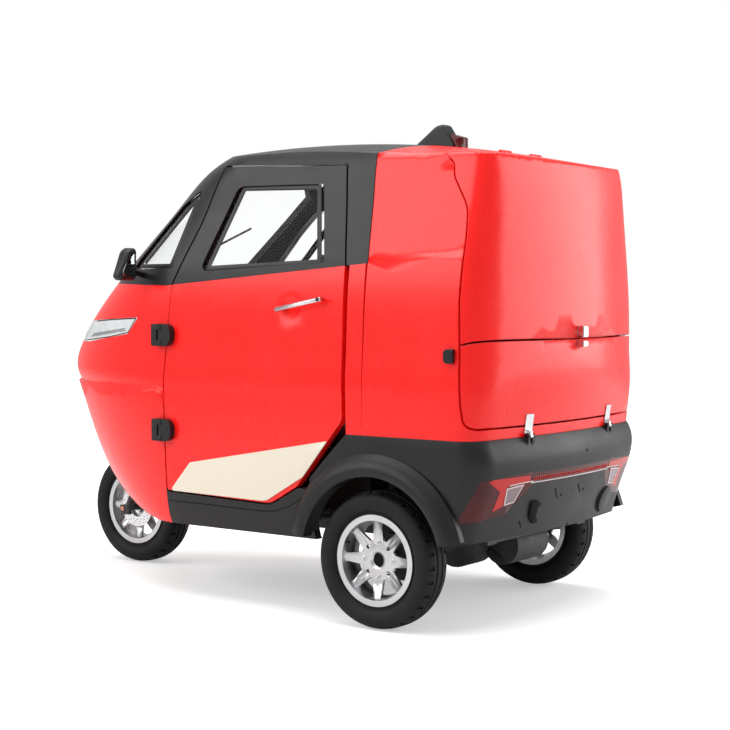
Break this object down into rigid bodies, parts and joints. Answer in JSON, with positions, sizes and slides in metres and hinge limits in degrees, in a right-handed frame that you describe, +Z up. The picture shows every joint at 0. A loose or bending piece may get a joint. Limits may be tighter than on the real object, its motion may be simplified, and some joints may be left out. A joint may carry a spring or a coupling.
{
  "type": "enclosed electric tricycle",
  "caption": "Enclosed electric tricycle with a steered front wheel, hinged cabin doors and a cargo box closed by a split tailgate.",
  "frame": {"origin": "on the ground, at the middle of the overall length and width", "axes": "+X forward, +Y to the driver's left, +Z up"},
  "size_m": [2.487, 1.4, 1.8404],
  "materials": {
    "body_red": "gloss",
    "frame_black": "gloss",
    "trim_black": "satin",
    "cream_trim": "gloss",
    "chassis_steel": "satin",
    "bright_steel": "polished",
    "alloy": "bright",
    "tyre_rubber": "matt",
    "grip_rubber": "matt",
    "clear_glass": "clear",
    "lamp_clear": "clear",
    "lamp_red": "clear",
    "seat_vinyl": "satin"
  },
  "bodies": {
    "chassis": {"battery_pack": "chassis_steel", "brake_lamp": "lamp_red", "cabin_frame": "frame_black", "cargo_box": "body_red", "cargo_floor": "chassis_steel", "chassis_frame": "chassis_steel", "dashboard": "trim_black", "door_posts": "body_red", "drive_motor": "chassis_steel", "floor_pan": "chassis_steel", "headlamps": "lamp_clear", "hinge_leaves": "trim_black", "mirrors": "trim_black", "nose_shell": "body_red", "quarter_windows": "clear_glass", "rear_axle": "chassis_steel", "rear_body": "trim_black", "rear_fenders": "trim_black", "roof_fin": "frame_black", "roof_panel": "frame_black", "seat_back": "seat_vinyl", "seat_base": "chassis_steel", "seat_cushion": "seat_vinyl", "side_buffers": "trim_black", "sills": "trim_black", "tail_lamps": "lamp_red", "windscreen": "clear_glass", "wiper": "trim_black"},
    "door_left": {"door_left_glass": "clear_glass", "door_left_handle": "bright_steel", "door_left_hinges": "trim_black", "door_left_panel": "body_red", "door_left_trim": "cream_trim", "door_left_window_frame": "frame_black"},
    "door_right": {"door_right_glass": "clear_glass", "door_right_handle": "bright_steel", "door_right_hinges": "trim_black", "door_right_panel": "body_red", "door_right_trim": "cream_trim", "door_right_window_frame": "frame_black"},
    "steering": {"front_fork": "chassis_steel", "handlebar": "grip_rubber"},
    "front_wheel": {"front_wheel_rim": "alloy", "front_wheel_tyre": "tyre_rubber"},
    "tailgate_upper": {"gate_latch": "bright_steel", "tailgate_upper": "body_red"},
    "tailgate_lower": {"gate_straps": "bright_steel", "latch_keeper": "bright_steel", "tailgate_lower": "body_red"},
    "rear_wheel_left": {"rear_wheel_left_rim": "alloy", "rear_wheel_left_tyre": "tyre_rubber"},
    "rear_wheel_right": {"rear_wheel_right_rim": "alloy", "rear_wheel_right_tyre": "tyre_rubber"}
  },
  "joints": [
    {"name": "steer", "type": "hinge", "parent": "chassis", "child": "steering", "pos_m": [0.9625, 0, 0.247], "axis": [-0.4067, 0, 0.9135], "range_deg": [-30, 30]},
    {"name": "front_wheel_spin", "type": "hinge", "parent": "steering", "child": "front_wheel", "pos_m": [0.9965, 0, 0.247], "axis": [0, 1, 0], "continuous": true},
    {"name": "rear_wheel_left_spin", "type": "hinge", "parent": "chassis", "child": "rear_wheel_left", "pos_m": [-0.7075, 0.545, 0.247], "axis": [0, 1, 0], "continuous": true},
    {"name": "rear_wheel_right_spin", "type": "hinge", "parent": "chassis", "child": "rear_wheel_right", "pos_m": [-0.7075, -0.545, 0.247], "axis": [0, 1, 0], "continuous": true},
    {"name": "door_left_swing", "type": "hinge", "parent": "chassis", "child": "door_left", "pos_m": [0.3045, 0.614, 0.66], "axis": [0, 0, -1], "range_deg": [0, 65]},
    {"name": "door_right_swing", "type": "hinge", "parent": "chassis", "child": "door_right", "pos_m": [0.3045, -0.614, 0.66], "axis": [0, 0, 1], "range_deg": [0, 65]},
    {"name": "tailgate_upper_lift", "type": "hinge", "parent": "chassis", "child": "tailgate_upper", "pos_m": [-0.9475, 0, 1.71], "axis": [0, 1, 0], "range_deg": [0, 85]},
    {"name": "tailgate_lower_drop", "type": "hinge", "parent": "chassis", "child": "tailgate_lower", "pos_m": [-1.16741, 0, 0.693], "axis": [0, -1, 0], "range_deg": [0, 95]}
  ]
}
